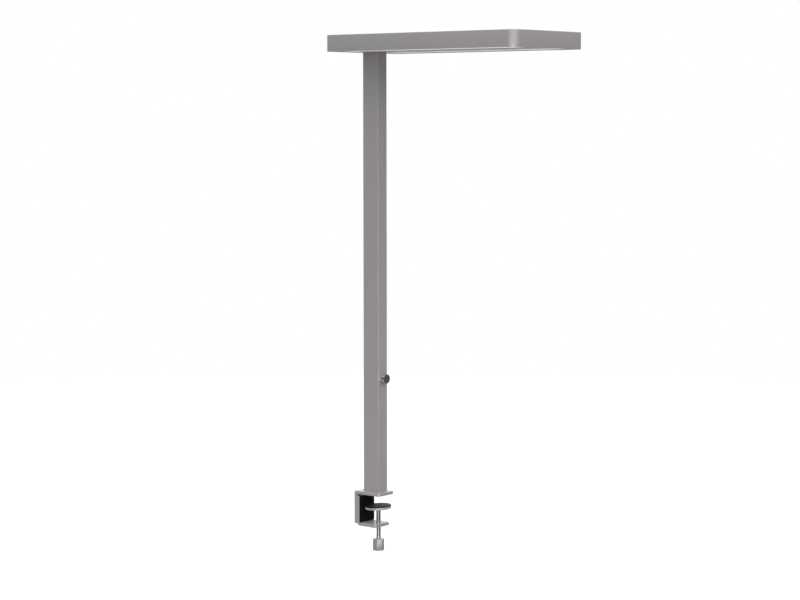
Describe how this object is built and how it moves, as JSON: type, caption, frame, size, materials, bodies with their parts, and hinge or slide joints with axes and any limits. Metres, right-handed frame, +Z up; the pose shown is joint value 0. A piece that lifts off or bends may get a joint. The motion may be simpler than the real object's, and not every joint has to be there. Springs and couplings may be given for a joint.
{
  "type": "desk clamp office luminaire",
  "caption": "Office luminaire: flat rectangular light head on a tall rectangular column, with a push-and-turn dimmer and a screw clamp for the desk edge.",
  "frame": {"origin": "on the column's axis, in the seat plane where the clamp's top plate rests on the desk", "axes": "+Z up along the column; +X the way the head reaches over the desk and the clamp's mouth opens; +Y along the desk's edge"},
  "size_m": [0.6243, 0.298, 1.3834],
  "materials": {
    "silver_grey_paint": "fine matt powder coat on aluminium and steel",
    "opal_acrylic": "satin opal",
    "clear_acrylic": "clear with a satin inner face",
    "white_sheet": "white coated sheet",
    "circuit_board": "solder mask",
    "zinc_steel": "zinc plated",
    "polished_steel": "polished",
    "satin_nickel": "satin, turned",
    "black_rubber": "matt black",
    "grey_rubber": "matt dark grey",
    "dark_plastic": "fine matt",
    "white_plastic": "matt"
  },
  "bodies": {
    "luminaire": {"head_frame": "silver_grey_paint", "head_spine": "silver_grey_paint", "diffuser_near": "opal_acrylic", "diffuser_far": "opal_acrylic", "led_tray_near": "white_sheet", "led_tray_far": "white_sheet", "led_board_near": "circuit_board", "led_board_far": "circuit_board", "uplight_board_near": "circuit_board", "uplight_board_far": "circuit_board", "tray_screws": "zinc_steel", "top_cover": "silver_grey_paint", "uplight_lens_near": "clear_acrylic", "uplight_lens_far": "clear_acrylic", "top_cover_screws": "zinc_steel", "led_driver": "white_sheet", "driver_screws": "zinc_steel", "terminal_block": "white_plastic", "wire_grommet": "black_rubber", "control_lead": "dark_plastic", "column": "silver_grey_paint", "column_top_screws": "zinc_steel", "column_foot_screws": "zinc_steel", "cord_grommet": "black_rubber", "dimmer_board": "circuit_board", "dimmer_encoder": "dark_plastic", "dimmer_nut": "zinc_steel", "upper_bracket": "silver_grey_paint", "lower_bracket": "silver_grey_paint", "bracket_screws": "zinc_steel", "back_pad": "black_rubber", "screw_bush": "zinc_steel"},
    "thrust": {"domed_washer": "zinc_steel"},
    "screw": {"clamp_screw": "polished_steel", "retaining_ring": "zinc_steel", "screw_grip": "satin_nickel", "grip_pin": "zinc_steel"},
    "plate": {"pressure_plate": "satin_nickel", "pressure_pad": "grey_rubber"},
    "rotor": {"dimmer_rotor": "white_plastic"},
    "knob": {"dimmer_shaft": "polished_steel", "dimmer_knob": "polished_steel", "dimmer_face": "dark_plastic"}
  },
  "joints": [
    {"name": "clamp_travel", "type": "slide", "parent": "luminaire", "child": "thrust", "axis": [0, 0, 1], "range_m": [-0.037, 0.024]},
    {"name": "clamp_screw_turn", "type": "hinge", "parent": "thrust", "child": "screw", "pos_m": [0.01, 0, -0.1], "axis": [0, 0, 1], "range_deg": [-4441, 2881]},
    {"name": "pressure_plate_tilt", "type": "hinge", "parent": "thrust", "child": "plate", "pos_m": [0.01, 0, -0.04745], "axis": [0.6428, -0.766, 0], "range_deg": [-6, 0]},
    {"name": "dimmer_turn", "type": "hinge", "parent": "luminaire", "child": "rotor", "pos_m": [0, 0, 0.3165], "axis": [-1, 0, 0], "range_deg": [0, 300]},
    {"name": "dimmer_push", "type": "slide", "parent": "rotor", "child": "knob", "axis": [-1, 0, 0], "range_m": [0, 0.0005], "stiffness_N_per_m": 1500, "springref_m": -0.001}
  ],
  "couplings": [
    {"joint": "clamp_screw_turn", "follows": "clamp_travel", "rad_per_m": 2094.4}
  ]
}
